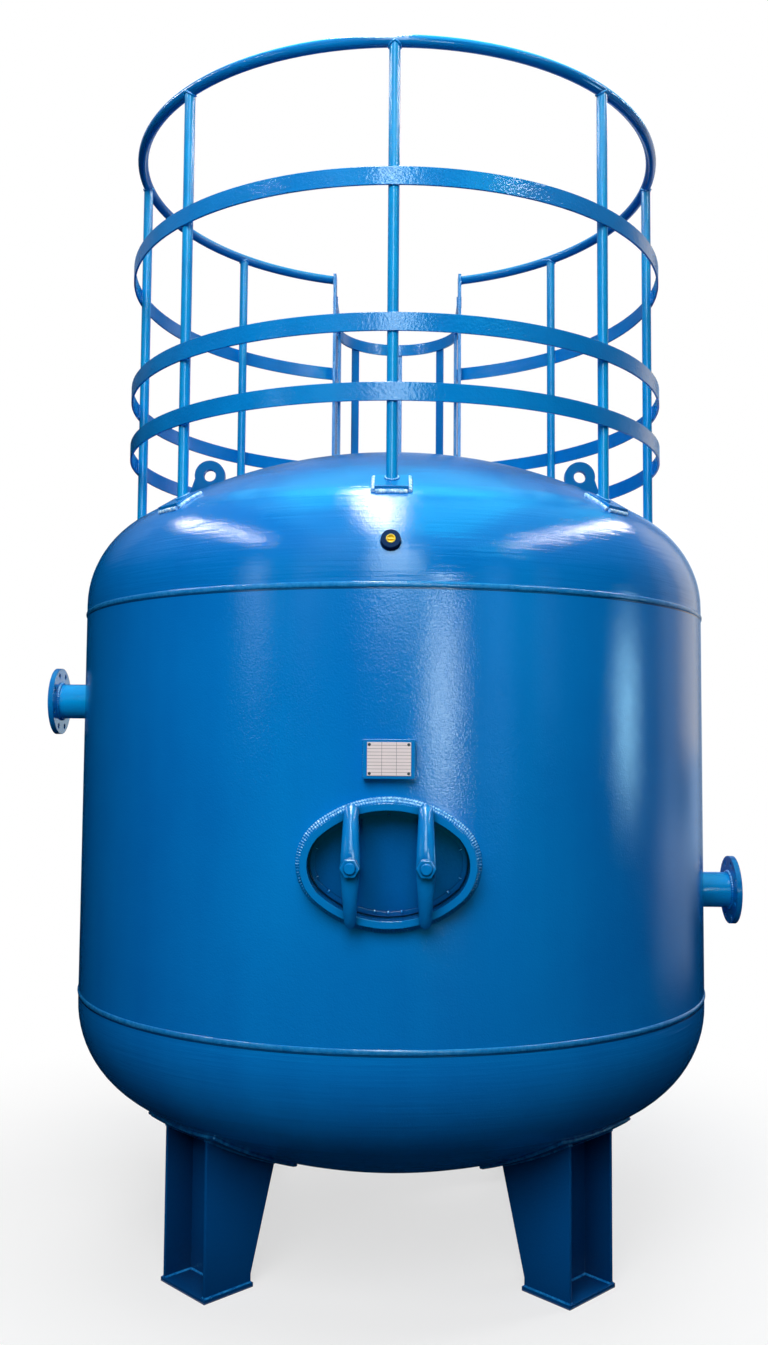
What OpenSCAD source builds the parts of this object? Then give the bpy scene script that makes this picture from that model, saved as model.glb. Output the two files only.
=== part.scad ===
// Upright pressure tank on four legs, with a guarded top and a caged ladder behind
// Millimetres, floor at Z = 0, manway towards -Y, inlet towards -X

/* [Vessel] */
// Outside radius of the shell and of both heads
shell_r = 1000; // [950:10:1050]
// Length of the shell between its two girth welds
shell_len = 1166; // [1120:2:1300]
// Plate thickness of the shell and heads
wall = 10; // [8:1:14]
// Straight flange at the rim of each head
head_flange = 32; // [24:1:44]
// Floor to the lowest point of the bottom head
ground_clearance = 228; // [200:2:280]
// Width of the cap of each girth weld
weld_w = 20; // [14:1:26]
// Height of the cap of each girth weld
weld_h = 3; // [2:0.5:4]

/* [Manway] */
// Outside width of the oval neck
manway_w = 440; // [420:2:470]
// Outside height of the oval neck
manway_h = 308; // [296:2:330]
// Wall of the oval neck
manway_t = 18; // [14:1:22]
// Centre of the manway above the lower girth weld
manway_z = 461; // [420:1:500]
// Reach of the neck in front of the shell
neck_out = 34; // [26:1:44]
// Reach of the neck inside the shell
neck_in = 46; // [40:1:60]
// Distance of each yoke from the middle of the manway
yoke_x = 92; // [80:1:100]
// Width of a yoke at its bolt
yoke_w = 50; // [46:1:58]
// Bolt diameter of the manway
bolt_d = 30; // [26:1:32]

/* [Nozzles] */
// Height of the inlet above the lower girth weld
inlet_z = 902; // [860:2:940]
// Height of the outlet above the lower girth weld
outlet_z = 296; // [250:2:330]
// Shell to the face of each nozzle flange
nozzle_out = 132; // [110:2:160]
// Outside diameter of the nozzle pipe
pipe_d = 114.3; // [108:0.1:114.3]
// Wall of the nozzle pipe
pipe_t = 6.3; // [5:0.1:8]
// Outside diameter of the nozzle flange
flange_d = 220; // [214:1:230]
// Thickness of the nozzle flange
flange_t = 20; // [18:1:24]
// Bolt circle of the nozzle flange
flange_pcd = 180; // [176:1:184]
// Bolt hole diameter of the nozzle flange
flange_hole_d = 18; // [16:1:20]

/* [Fittings] */
// Tilt of the vent socket above level
vent_tilt = 15; // [10:1:24]
// Outside diameter of the vent socket
vent_d = 50; // [44:1:56]
// Width of the nameplate bracket
bracket_w = 128; // [120:1:140]
// Height of the nameplate bracket
bracket_h = 98; // [90:1:110]
// Middle of the nameplate above the lower girth weld
bracket_z = 724; // [700:1:760]
// Distance of each lifting eye from the vessel axis
lug_x = 626; // [600:2:650]
// Height of each lifting eye above the head
lug_rise = 92; // [84:1:110]
// Rounded end radius of the lifting lug
lug_r = 51; // [46:1:56]
// Hole of the lifting eye
lug_hole_d = 41; // [36:1:46]
// Thickness of the lifting lug
lug_t = 25; // [20:1:30]

/* [Guard] */
// Vessel axis to the middle of the guard posts
guard_r = 856; // [840:2:866]
// Outside diameter of the posts
post_d = 31; // [28:1:32]
// Outside diameter of the top rail
rail_d = 33; // [33:1:36]
// Top rail above the upper girth weld
rail_z = 1515; // [1440:5:1560]
// Upper band below the top rail
upper_drop = 388; // [360:2:420]
// Middle band below the top rail
middle_drop = 790; // [760:2:820]
// Lower band below the top rail
lower_drop = 980; // [950:2:1010]
// Height of the flat bands
band_h = 50; // [40:1:60]
// Thickness of the flat bands
band_t = 6; // [5:1:8]
// Width of the plate under a post
shoe_w = 90; // [80:1:100]
// Length of the plate under a post, along the slope of the head
shoe_len = 88; // [76:1:100]
// Thickness of the plate under a post
shoe_t = 11; // [8:1:14]
// How far the plate lies downhill of its post
shoe_shift = 12; // [0:1:16]
// Clear way between the two ends of the guard
gate_w = 500; // [480:2:520]

/* [Ladder] */
// Vessel axis to the middle of the ladder
ladder_y = 1180; // [1170:2:1220]
// Width of the flat stiles
stile_w = 60; // [50:1:70]
// Thickness of the flat stiles
stile_t = 12; // [10:1:14]
// Floor to the foot of the ladder
ladder_foot = 260; // [220:5:320]
// Distance between rungs
rung_gap = 280; // [250:5:300]
// Diameter of the rungs
rung_d = 25; // [20:1:28]
// Top hoop of the cage below the top rail
hoop_drop = 81; // [70:1:100]
// Distance between the hoops of the cage
hoop_gap = 580; // [540:5:600]
// Width of the straps of the cage
strap_w = 40; // [34:1:50]

/* [Legs] */
// Outside width of a leg over its two cheek plates
leg_w = 200; // [180:2:220]
// Vessel axis to the outer edge of a leg
leg_out = 804; // [780:2:816]
// Depth of a leg at its foot
leg_depth = 158; // [150:2:170]
// How far a leg deepens inwards for each unit of height
leg_lean = 0.28; // [0.2:0.01:0.32]
// Plate thickness of a leg
leg_t = 10; // [8:1:12]
// Thickness of the pads between the legs and the head
pad_t = 10; // [8:1:12]
// Thickness of the foot plates
foot_t = 12; // [10:1:16]

/* [Hidden] */
$fn = 96;
crown_r = 1.6 * shell_r;
knuckle_r = 0.308 * shell_r;
knuckle_x = shell_r - knuckle_r;
crown_c = head_flange - sqrt(pow(crown_r - knuckle_r, 2) - pow(knuckle_x, 2));
join_r = crown_r * knuckle_x / (crown_r - knuckle_r);
slope = asin(knuckle_x / (crown_r - knuckle_r));
head_h = crown_c + crown_r;
lower_z = ground_clearance + head_h;
upper_z = lower_z + shell_len;
crown_z = upper_z + head_h;
weld_c = (pow(weld_w / 2, 2) - pow(weld_h, 2)) / (2 * weld_h);
weld_r = weld_c + weld_h;

oval_a = manway_w / 2;
oval_b = manway_h / 2;
oval_end = 0.75 * oval_b;
oval_side = (pow(oval_a - oval_end, 2) + pow(oval_b, 2) - pow(oval_end, 2)) / (2 * (oval_b - oval_end));
oval_tx = oval_side * (oval_a - oval_end) / (oval_side - oval_end);
neck_face = shell_r + neck_out;
neck_back = shell_r - neck_in;
gasket_t = 5;
cover_t = 18;
cover_lap = 4;
cover_face = neck_back - gasket_t;
yoke_rise = 66;
yoke_foot = 16;
yoke_under = 40;
yoke_seat = yoke_rise - 2;
yoke_foot_r = 15;
yoke_reach = oval_b - 2;
nut_h = 0.64 * bolt_d;
nut_d = 1.65 * bolt_d;
stud_end = 7;
front_reach = neck_face + yoke_seat + nut_h + stud_end;

rail_h = upper_z + rail_z;
post_step = 45;
gate_in = gate_w / 2;
gate_out = gate_in + stile_t;
gate_y = sqrt(pow(guard_r, 2) - pow(gate_out, 2));
hoop_t = 8;
strap_t = 8;
hoop_z = rail_h - hoop_drop;
rear_reach = ladder_y + gate_out + hoop_t + strap_t;
axis_y = (front_reach - rear_reach) / 2;
rungs_n = floor((crown_z - ladder_foot - 100) / rung_gap);
shoe_bed = 8;
leg_step = 90;

// Height of the outside of a head above its girth weld, at a radius from the axis
function head_at(r) = r <= join_r
    ? crown_c + sqrt(crown_r * crown_r - r * r)
    : head_flange + sqrt(knuckle_r * knuckle_r - pow(r - knuckle_x, 2));

// Vessel axis placed so that the origin is under the middle of the whole tank
module on_axis() {
    translate([0, axis_y, 0]) children();
}

// Half section of a head, grown outwards by a thickness
module head_section(grow) {
    far = 3 * shell_r;
    intersection() {
        square([far, far]);
        union() {
            square([shell_r + grow, head_flange]);
            square([knuckle_x, head_flange + knuckle_r / 2]);
            translate([knuckle_x, head_flange]) circle(r = knuckle_r + grow, $fn = 240);
            intersection() {
                translate([0, crown_c]) circle(r = crown_r + grow, $fn = 480);
                translate([0, crown_c])
                    polygon([[0, 0], [far * sin(slope), far * cos(slope)], [0, far]]);
            }
        }
    }
}

module head_solid(grow = 0) {
    rotate_extrude($fn = 180) head_section(grow);
}

module top_head_solid(grow = 0) {
    translate([0, 0, upper_z]) head_solid(grow);
}

module bottom_head_solid(grow = 0) {
    translate([0, 0, lower_z]) mirror([0, 0, 1]) head_solid(grow);
}

module head_plate() {
    rotate_extrude($fn = 180) difference() {
        head_section(0);
        translate([0, -1]) square([shell_r - wall, head_flange + 1.01]);
        head_section(-wall);
    }
}

module girth_weld() {
    rotate_extrude($fn = 180) intersection() {
        translate([shell_r - weld_c, 0]) circle(r = weld_r);
        translate([shell_r, -weld_w]) square([2 * weld_h, 2 * weld_w]);
    }
}

// Oval of four arcs, drawn smaller by an inset
module oval(inset) {
    long_r = oval_side - inset;
    long_c = oval_side - oval_b;
    for (s = [-1, 1]) translate([s * (oval_a - oval_end), 0]) circle(r = oval_end - inset);
    intersection() {
        translate([0, long_c]) circle(r = long_r, $fn = 240);
        translate([0, -long_c]) circle(r = long_r, $fn = 240);
        square([2 * oval_tx, 4 * oval_b], center = true);
    }
}

// Oval bar along -Y between two distances from the vessel axis
module oval_bar(inset, near, far) {
    translate([0, -near, lower_z + manway_z]) rotate([90, 0, 0]) linear_extrude(far - near) oval(inset);
}

module shell_cylinder(r) {
    translate([0, 0, lower_z]) cylinder(r = r, h = shell_len, $fn = 180);
}

module shell() {
    color("#0f5fa8") on_axis() difference() {
        shell_cylinder(shell_r);
        translate([0, 0, lower_z - 1]) cylinder(r = shell_r - wall, h = shell_len + 2, $fn = 180);
        oval_bar(0, shell_r / 2, 2 * shell_r);
        nozzle_bar(-1, inlet_z, pipe_d / 2);
        nozzle_bar(1, outlet_z, pipe_d / 2);
    }
}

module top_head() {
    color("#1269b8") on_axis() difference() {
        translate([0, 0, upper_z]) head_plate();
        vent_place() translate([0, 0, -2 * wall]) cylinder(d = vent_d / 2, h = 4 * wall);
    }
}

module bottom_head() {
    color("#0d5697") on_axis() translate([0, 0, lower_z]) mirror([0, 0, 1]) head_plate();
}

module upper_girth_weld() {
    color("#1a76c4") on_axis() translate([0, 0, upper_z]) girth_weld();
}

module lower_girth_weld() {
    color("#1a76c4") on_axis() translate([0, 0, lower_z]) girth_weld();
}

module manway_neck() {
    color("#145fa6") on_axis() difference() {
        oval_bar(0, neck_back, neck_face);
        oval_bar(manway_t, neck_back - 1, neck_face + 1);
    }
}

module manway_gasket() {
    color("#222326") on_axis() difference() {
        oval_bar(0, neck_back - gasket_t, neck_back);
        oval_bar(manway_t, neck_back - gasket_t - 1, neck_back + 1);
    }
}

// Cover pressed from inside against the back of the neck
module manway_cover() {
    color("#0f4f8c") on_axis() difference() {
        oval_bar(-cover_lap, cover_face - cover_t, cover_face);
        for (s = [-1, 1]) yoke_place(s) translate([0, 0, -shell_r / 4]) cylinder(d = bolt_d, h = shell_r / 3);
    }
}

// Bar bent to the oval and welded on the cover, which it centres in the neck
module cover_ring() {
    color("#125590") on_axis() difference() {
        oval_bar(manway_t + 3, cover_face, cover_face + gasket_t + 8);
        oval_bar(manway_t + 15, cover_face - 1, cover_face + gasket_t + 9);
    }
}

// Axis of a manway bolt, Z outwards from the face of the neck
module yoke_place(s) {
    translate([s * yoke_x, -neck_face, lower_z + manway_z]) rotate([90, 0, 0]) children();
}

// Side of a yoke: an arch that stands on the top and bottom of the neck
module yoke_side() {
    out_c = (pow(oval_b, 2) + pow(yoke_foot, 2) - pow(yoke_rise, 2)) / (2 * (yoke_rise - yoke_foot));
    foot_in = yoke_reach - 1.6 * manway_t;
    in_c = (pow(foot_in, 2) - pow(yoke_under, 2)) / (2 * yoke_under);
    difference() {
        translate([-out_c, 0]) circle(r = out_c + yoke_rise, $fn = 180);
        translate([-in_c, 0]) circle(r = in_c + yoke_under, $fn = 180);
        translate([-4 * oval_a, -2 * oval_a]) square([4 * oval_a, 4 * oval_a]);
        translate([yoke_seat, -oval_b]) square([oval_b, 2 * oval_b]);
    }
}

// Front of a yoke: widest at its bolt and rounded at both ends
module yoke_front() {
    end_r = 0.44 * yoke_w;
    tip = yoke_reach + 8;
    intersection() {
        polygon([[yoke_w / 2, 0], [yoke_foot_r, tip], [-yoke_foot_r, tip],
            [-yoke_w / 2, 0], [-yoke_foot_r, -tip], [yoke_foot_r, -tip]]);
        union() {
            square([2 * yoke_w, 2 * (yoke_reach - end_r)], center = true);
            for (s = [-1, 1]) translate([0, s * (yoke_reach - end_r)]) circle(r = end_r);
        }
    }
}

module manway_yokes() {
    color("#1668b2") on_axis() for (s = [-1, 1]) yoke_place(s) difference() {
        intersection() {
            linear_extrude(yoke_rise) yoke_front();
            translate([-yoke_w, 0, 0]) rotate([90, 0, 90]) linear_extrude(2 * yoke_w)
                rotate(90) mirror([0, 1]) yoke_side();
        }
        translate([0, 0, -1]) cylinder(d = bolt_d + 2, h = 2 * yoke_rise);
    }
}

module manway_studs() {
    color("#4d5560") on_axis() for (s = [-1, 1]) yoke_place(s)
        translate([0, 0, neck_back - gasket_t - cover_t - neck_face])
            cylinder(d = bolt_d, h = front_reach - (neck_back - gasket_t - cover_t));
}

module manway_nuts() {
    color("#5a626d") on_axis() for (s = [-1, 1]) yoke_place(s) translate([0, 0, yoke_seat]) difference() {
        cylinder(d = nut_d, h = nut_h, $fn = 6);
        translate([0, 0, -1]) cylinder(d = bolt_d, h = nut_h + 2);
    }
}

// Round bar from the vessel axis through the shell, towards -X or +X
module nozzle_bar(side, height, r) {
    translate([0, 0, lower_z + height]) rotate([0, side * 90, 0]) cylinder(r = r, h = 2 * shell_r);
}

module nozzle_pipe(side, height) {
    start = shell_r - 40;
    end = shell_r + nozzle_out - 6;
    translate([0, 0, lower_z + height]) rotate([0, side * 90, 0]) translate([0, 0, start]) difference() {
        cylinder(d = pipe_d, h = end - start);
        translate([0, 0, -1]) cylinder(d = pipe_d - 2 * pipe_t, h = end - start + 2);
    }
}

// Slip-on flange with a raised face and eight bolt holes that straddle the centre line
module nozzle_flange(side, height) {
    face = shell_r + nozzle_out;
    raised_d = 158;
    raised_h = 3;
    translate([0, 0, lower_z + height]) rotate([0, side * 90, 0]) translate([0, 0, face - flange_t]) difference() {
        union() {
            cylinder(d = flange_d, h = flange_t - raised_h);
            cylinder(d = raised_d, h = flange_t);
        }
        translate([0, 0, -1]) cylinder(d = pipe_d, h = flange_t + 2);
        for (i = [0:7]) rotate(22.5 + 45 * i) translate([flange_pcd / 2, 0, -1])
            cylinder(d = flange_hole_d, h = flange_t + 2);
    }
}

module inlet_pipe() {
    color("#1567b3") on_axis() nozzle_pipe(-1, inlet_z);
}

module inlet_flange() {
    color("#0f5a9f") on_axis() nozzle_flange(-1, inlet_z);
}

module outlet_pipe() {
    color("#1567b3") on_axis() nozzle_pipe(1, outlet_z);
}

module outlet_flange() {
    color("#0f5a9f") on_axis() nozzle_flange(1, outlet_z);
}

// Axis of the vent, Z outwards from the knuckle of the top head
module vent_place() {
    translate([0, -knuckle_x, upper_z + head_flange]) rotate([90 - vent_tilt, 0, 0])
        translate([0, 0, knuckle_r]) children();
}

module vent_socket() {
    color("#0d4d8a") on_axis() difference() {
        vent_place() translate([0, 0, -wall]) cylinder(d = vent_d, h = wall + 16);
        top_head_solid();
        vent_place() translate([0, 0, -2 * wall]) cylinder(d = vent_d / 2, h = 60);
    }
}

module vent_plug() {
    color("#f2c21a") on_axis() vent_place() difference() {
        translate([0, 0, 2]) cylinder(d = vent_d / 2, h = 16);
        translate([0, 0, 10]) cylinder(d = vent_d / 2 - 6, h = 9);
    }
}

// Folded bracket whose two sides run back to the shell
module nameplate_bracket() {
    front = shell_r + 28;
    sheet = 3;
    color("#176dba") on_axis() difference() {
        translate([-bracket_w / 2, -front, lower_z + bracket_z - bracket_h / 2])
            cube([bracket_w, 60, bracket_h]);
        translate([-bracket_w / 2 + sheet, -front + sheet, lower_z + bracket_z - bracket_h])
            cube([bracket_w - 2 * sheet, 80, 2 * bracket_h]);
        shell_cylinder(shell_r);
    }
}

module nameplate() {
    plate_w = bracket_w - 18;
    plate_h = bracket_h - 14;
    color("#c9cdd2") on_axis() difference() {
        translate([-plate_w / 2, -shell_r - 29.5, lower_z + bracket_z - plate_h / 2])
            cube([plate_w, 1.5, plate_h]);
        for (x = [-1, 1], z = [-1, 1])
            translate([x * (plate_w / 2 - 6), -shell_r, lower_z + bracket_z + z * (plate_h / 2 - 6)])
                rotate([90, 0, 0]) cylinder(d = 4, h = 40, $fn = 24);
    }
}

// Upright plate with a round eye, cut to the curve of the head
module lifting_lug(side) {
    flare = 0.34;
    neck = 0.9 * lug_r;
    eye_z = upper_z + head_at(lug_x) + lug_rise;
    drop = 3 * lug_rise;
    difference() {
        translate([side * lug_x, lug_t / 2, eye_z]) rotate([90, 0, 0]) difference() {
            union() {
                cylinder(r = lug_r, h = lug_t);
                linear_extrude(lug_t)
                    polygon([[-neck, 0], [neck, 0], [neck + drop * flare, -drop], [-neck - drop * flare, -drop]]);
            }
            translate([0, 0, -1]) cylinder(d = lug_hole_d, h = lug_t + 2);
        }
        top_head_solid();
    }
}

module left_lifting_lug() {
    color("#0f5a9f") on_axis() lifting_lug(-1);
}

module right_lifting_lug() {
    color("#0f5a9f") on_axis() lifting_lug(1);
}

// Way through the guard at the ladder
module gate_gap() {
    translate([-gate_out, 0, upper_z]) cube([2 * gate_out, 2 * guard_r, 2 * rail_z]);
}

module rail_ring() {
    translate([0, 0, rail_h]) rotate_extrude($fn = 180) translate([guard_r, 0]) circle(d = rail_d);
}

module top_rail() {
    color("#1b7fd0") on_axis() difference() {
        rail_ring();
        gate_gap();
    }
}

module guard_band(drop) {
    difference() {
        translate([0, 0, rail_h - drop - band_h / 2]) difference() {
            cylinder(r = guard_r + post_d / 2 + band_t, h = band_h, $fn = 180);
            translate([0, 0, -1]) cylinder(r = guard_r + post_d / 2, h = band_h + 2, $fn = 180);
        }
        gate_gap();
    }
}

module upper_band() {
    color("#1b7fd0") on_axis() guard_band(upper_drop);
}

module middle_band() {
    color("#1b7fd0") on_axis() guard_band(middle_drop);
}

module lower_band() {
    color("#1b7fd0") on_axis() guard_band(lower_drop);
}

// Seat of a post on the head: Z along the slope's normal, -Y downhill and outwards
module shoe_place(turn) {
    normal = guard_r <= join_r ? asin(guard_r / crown_r) : 90 - acos((guard_r - knuckle_x) / knuckle_r);
    rotate(turn) translate([0, -guard_r, upper_z + head_at(guard_r)]) rotate([normal, 0, 0]) children();
}

module guard_post(turn) {
    difference() {
        rotate(turn) translate([0, -guard_r, upper_z]) cylinder(d = post_d, h = rail_z);
        rail_ring();
        shoe_place(turn) translate([-shell_r / 2, -shell_r / 2, shoe_t - shell_r])
            cube(shell_r);
    }
}

module front_post() {
    color("#1877c8") on_axis() guard_post(0);
}

module front_corner_posts() {
    color("#1877c8") on_axis() for (s = [-1, 1]) guard_post(s * post_step);
}

module side_posts() {
    color("#1877c8") on_axis() for (s = [-1, 1]) guard_post(s * 2 * post_step);
}

module rear_corner_posts() {
    color("#1877c8") on_axis() for (s = [-1, 1]) guard_post(s * 3 * post_step);
}

// Flat plate that follows the slope of the head and is fitted to its curve underneath
module post_shoe(turn) {
    difference() {
        shoe_place(turn) translate([-shoe_w / 2, -shoe_len / 2 - shoe_shift, -shoe_bed])
            cube([shoe_w, shoe_len, shoe_bed + shoe_t]);
        top_head_solid();
    }
}

module post_shoes() {
    color("#166bb5") on_axis() for (i = [-3:3]) post_shoe(i * post_step);
}

// Flat bars that close the two ends of the guard
module gate_bars() {
    low = upper_z + 2 * head_flange;
    color("#1670bd") on_axis() difference() {
        for (s = [-1, 1]) translate([s * (gate_in + stile_t / 2) - stile_t / 2, gate_y - stile_w / 2, low])
            cube([stile_t, stile_w, rail_h + rail_d / 2 - low]);
        top_head_solid();
    }
}

module stile(s) {
    top = hoop_z + band_h / 2;
    translate([s * (gate_in + stile_t / 2), ladder_y, (ladder_foot + top) / 2])
        cube([stile_t, stile_w, top - ladder_foot], center = true);
}

module left_stile() {
    color("#1670bd") on_axis() stile(-1);
}

module right_stile() {
    color("#1670bd") on_axis() stile(1);
}

module rungs() {
    color("#1877c8") on_axis() for (i = [0:rungs_n - 1])
        translate([-gate_in, ladder_y, ladder_foot + 100 + i * rung_gap]) rotate([0, 90, 0])
            cylinder(d = rung_d, h = gate_w);
}

// Flat bars from the shell to the stiles
module ladder_brackets() {
    back = ladder_y - stile_w / 2;
    color("#145fa6") on_axis() difference() {
        for (s = [-1, 1], f = [0.12, 0.5, 0.88])
            translate([s * (gate_in + stile_t / 2), (shell_r * 0.9 + back) / 2, lower_z + f * shell_len])
                cube([stile_t, back - shell_r * 0.9, stile_w], center = true);
        shell_cylinder(shell_r);
    }
}

// Flat bars that join the ends of the guard to the ladder
module guard_links() {
    front = gate_y + stile_w / 2;
    back = ladder_y - stile_w / 2;
    color("#145fa6") on_axis() for (s = [-1, 1], drop = [hoop_drop, upper_drop, lower_drop])
        translate([s * (gate_in + stile_t / 2), (front + back) / 2, rail_h - drop])
            cube([stile_t, back - front, band_h], center = true);
}

module cage_hoops() {
    color("#1877c8") on_axis() for (i = [0:2]) translate([0, ladder_y, hoop_z - i * hoop_gap - band_h / 2])
        difference() {
            cylinder(r = gate_out + hoop_t, h = band_h);
            translate([0, 0, -1]) cylinder(r = gate_out, h = band_h + 2);
            translate([-shell_r / 2, -shell_r, -1]) cube([shell_r, shell_r, band_h + 2]);
        }
}

// Upright straps around the outside of the hoops
module cage_straps() {
    r = gate_out + hoop_t;
    low = hoop_z - 2 * hoop_gap - band_h / 2;
    color("#1670bd") on_axis() translate([0, ladder_y, low]) for (i = [0:4])
        rotate(i == 0 ? 5 : i == 4 ? 175 : 45 * i) intersection() {
            difference() {
                cylinder(r = r + strap_t, h = hoop_z + band_h / 2 - low);
                translate([0, 0, -1]) cylinder(r = r, h = 2 * rail_h);
            }
            translate([0, -strap_w / 2, -1]) cube([2 * r, strap_w, 2 * rail_h]);
        }
}

// Side of a leg in the plane of its cheek plates, from its foot plate to above the head
module leg_side(front) {
    high = lower_z;
    polygon([[leg_out - leg_depth - leg_lean * high, foot_t + 24 + high], [leg_out - leg_depth, foot_t + 24],
        [leg_out - leg_depth, foot_t], [front, foot_t], [front, foot_t + 24 + high]]);
}

// Two cheek plates and a web set back between them, open outwards
module leg(turn) {
    web = leg_out - 0.56 * leg_depth;
    difference() {
        rotate(turn) rotate([90, 0, -90]) {
            for (s = [-1, 1]) translate([0, 0, s * (leg_w - leg_t) / 2 - leg_t / 2])
                linear_extrude(leg_t) leg_side(leg_out);
            translate([0, 0, leg_t - leg_w / 2]) linear_extrude(leg_w - 2 * leg_t) intersection() {
                leg_side(leg_out);
                translate([web - leg_t, 0]) square([leg_t, 2 * lower_z]);
            }
        }
        bottom_head_solid(pad_t);
        translate([0, 0, lower_z]) cylinder(r = 2 * shell_r, h = shell_len);
    }
}

module front_left_leg() {
    color("#0c4076") on_axis() leg(-0.5 * leg_step);
}

module front_right_leg() {
    color("#0c4076") on_axis() leg(0.5 * leg_step);
}

module rear_left_leg() {
    color("#0c4076") on_axis() leg(-1.5 * leg_step);
}

module rear_right_leg() {
    color("#0c4076") on_axis() leg(1.5 * leg_step);
}

// Curved plates between the head and the legs
module leg_pads() {
    inner = leg_out - leg_depth - 110;
    color("#0d4880") on_axis() for (i = [0:3]) difference() {
        intersection() {
            bottom_head_solid(pad_t);
            rotate(leg_step * (i + 0.5)) translate([-leg_out - 16, -leg_w / 2 - 55, 0])
                cube([leg_out + 16 - inner, leg_w + 110, lower_z]);
        }
        bottom_head_solid();
    }
}

module foot_plates() {
    lip = 5;
    color("#0c4076") on_axis() for (i = [0:3]) rotate(leg_step * (i + 0.5))
        translate([-leg_out - lip, -leg_w / 2 - lip, 0])
            cube([leg_depth + 2 * lip, leg_w + 2 * lip, foot_t]);
}

shell();
top_head();
bottom_head();
upper_girth_weld();
lower_girth_weld();
manway_neck();
manway_cover();
cover_ring();
manway_gasket();
manway_yokes();
manway_studs();
manway_nuts();
inlet_pipe();
inlet_flange();
outlet_pipe();
outlet_flange();
vent_socket();
vent_plug();
nameplate_bracket();
nameplate();
left_lifting_lug();
right_lifting_lug();
top_rail();
upper_band();
middle_band();
lower_band();
front_post();
front_corner_posts();
side_posts();
rear_corner_posts();
post_shoes();
gate_bars();
left_stile();
right_stile();
rungs();
ladder_brackets();
guard_links();
cage_hoops();
cage_straps();
front_left_leg();
front_right_leg();
rear_left_leg();
rear_right_leg();
leg_pads();
foot_plates();
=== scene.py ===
import math
import random

import bmesh
import bpy
from mathutils import Matrix, Vector


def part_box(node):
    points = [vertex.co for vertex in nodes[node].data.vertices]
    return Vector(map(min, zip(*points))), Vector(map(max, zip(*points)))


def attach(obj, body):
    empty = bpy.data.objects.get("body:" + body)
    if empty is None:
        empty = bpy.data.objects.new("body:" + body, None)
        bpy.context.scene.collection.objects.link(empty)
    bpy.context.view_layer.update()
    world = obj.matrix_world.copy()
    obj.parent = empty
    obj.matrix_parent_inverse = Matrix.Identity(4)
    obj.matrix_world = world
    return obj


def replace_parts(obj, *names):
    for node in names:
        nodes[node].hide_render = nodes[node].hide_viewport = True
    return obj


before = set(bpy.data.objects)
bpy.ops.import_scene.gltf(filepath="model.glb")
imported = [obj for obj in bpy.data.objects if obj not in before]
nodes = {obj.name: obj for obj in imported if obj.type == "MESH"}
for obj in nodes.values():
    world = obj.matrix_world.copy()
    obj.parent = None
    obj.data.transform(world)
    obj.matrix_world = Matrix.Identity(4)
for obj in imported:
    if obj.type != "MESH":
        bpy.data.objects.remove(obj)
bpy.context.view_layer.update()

# Foot plates, legs and pads
# Flame-cut mild steel: a foot plate, two cheek plates and a web, hand welded to each other and to a
# curved pad on the head above, then sprayed with thick gloss enamel like the whole tank.


def link(tree, source, target):
    tree.links.new(source, target)


def feed(tree, socket, value):
    """Links an output to a socket, or sets a number, place or colour on it."""
    if isinstance(value, bpy.types.NodeSocket):
        link(tree, value, socket)
    elif socket.type == "RGBA":
        socket.default_value = (*value, 1.0)
    else:
        socket.default_value = value


def calc(tree, operation, *given):
    """Result of a sum or comparison."""
    node = tree.nodes.new("ShaderNodeMath")
    node.operation = operation
    for socket, value in zip(node.inputs, given):
        feed(tree, socket, value)
    return node.outputs["Value"]


def mixed(tree, factor, first, second):
    """Colour between two tones."""
    node = tree.nodes.new("ShaderNodeMix")
    node.data_type = "RGBA"
    for socket, value in (("Factor", factor), (6, first), (7, second)):
        feed(tree, node.inputs[socket], value)
    return node.outputs[2]


def ranged(tree, value, low, high, to_low=0.0, to_high=1.0):
    """Value carried over from one range to another, and held at the ends."""
    node = tree.nodes.new("ShaderNodeMapRange")
    for socket, given in (("Value", value), ("From Min", low), ("From Max", high),
                          ("To Min", to_low), ("To Max", to_high)):
        feed(tree, node.inputs[socket], given)
    return node.outputs["Result"]


def noise(tree, where, scale, detail):
    """Cloudy value from 0 to 1."""
    node = tree.nodes.new("ShaderNodeTexNoise")
    for socket, given in (("Vector", where), ("Scale", scale), ("Detail", detail)):
        feed(tree, node.inputs[socket], given)
    return node.outputs["Fac"]


def bumped(tree, height, strength, distance, normal=None):
    """Normal of a surface lifted by a height."""
    node = tree.nodes.new("ShaderNodeBump")
    node.inputs["Strength"].default_value = strength
    node.inputs["Distance"].default_value = distance
    link(tree, height, node.inputs["Height"])
    if normal is not None:
        link(tree, normal, node.inputs["Normal"])
    return node.outputs["Normal"]


def mapped(tree, where, **given):
    """Place that is moved, turned or stretched."""
    node = tree.nodes.new("ShaderNodeMapping")
    link(tree, where, node.inputs["Vector"])
    for socket, value in given.items():
        node.inputs[socket].default_value = value
    return node.outputs["Vector"]


def object_place(tree):
    """Place in the tank's own frame."""
    return tree.nodes.new("ShaderNodeTexCoord").outputs["Object"]


def split(tree, vector):
    """The X, Y and Z of a vector."""
    node = tree.nodes.new("ShaderNodeSeparateXYZ")
    link(tree, vector, node.inputs["Vector"])
    return node.outputs


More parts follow.
